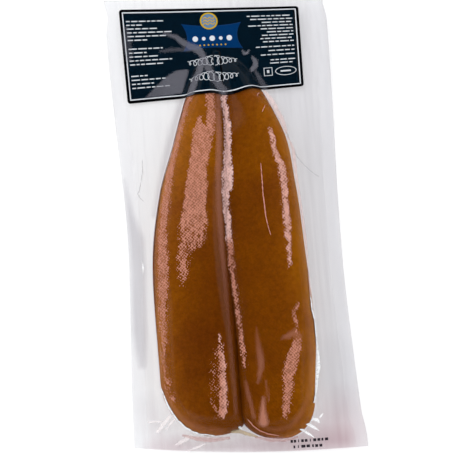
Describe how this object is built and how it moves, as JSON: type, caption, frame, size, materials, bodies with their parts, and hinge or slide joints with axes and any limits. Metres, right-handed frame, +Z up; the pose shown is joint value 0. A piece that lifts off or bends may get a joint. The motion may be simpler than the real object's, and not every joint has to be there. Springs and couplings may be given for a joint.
{
  "type": "vacuum pack of mullet bottarga",
  "caption": "Clear flat vacuum bag sealed tight round a whole amber-brown mullet roe of two joined lobes, with a dark paper label across its upper end.",
  "frame": {"origin": "middle of the pack's footprint, on the surface it lies on", "axes": "+Z up from the table, +Y along the pack towards the labelled end, +X to the right seen from above with the label at the top"},
  "size_m": [0.121, 0.2522, 0.0229],
  "materials": {
    "film": "clear embossed vacuum film, glossy, with fine wrinkles and milky welded sides",
    "roe": "cured fish roe, translucent amber brown, darker in the groove and at the blunt ends",
    "label": "coated paper printed dark blue with a black edge and a thin white frame, glossy under the film"
  },
  "bodies": {
    "root": {"sealed_bag": "film", "label": "label"}
  },
  "joints": []
}
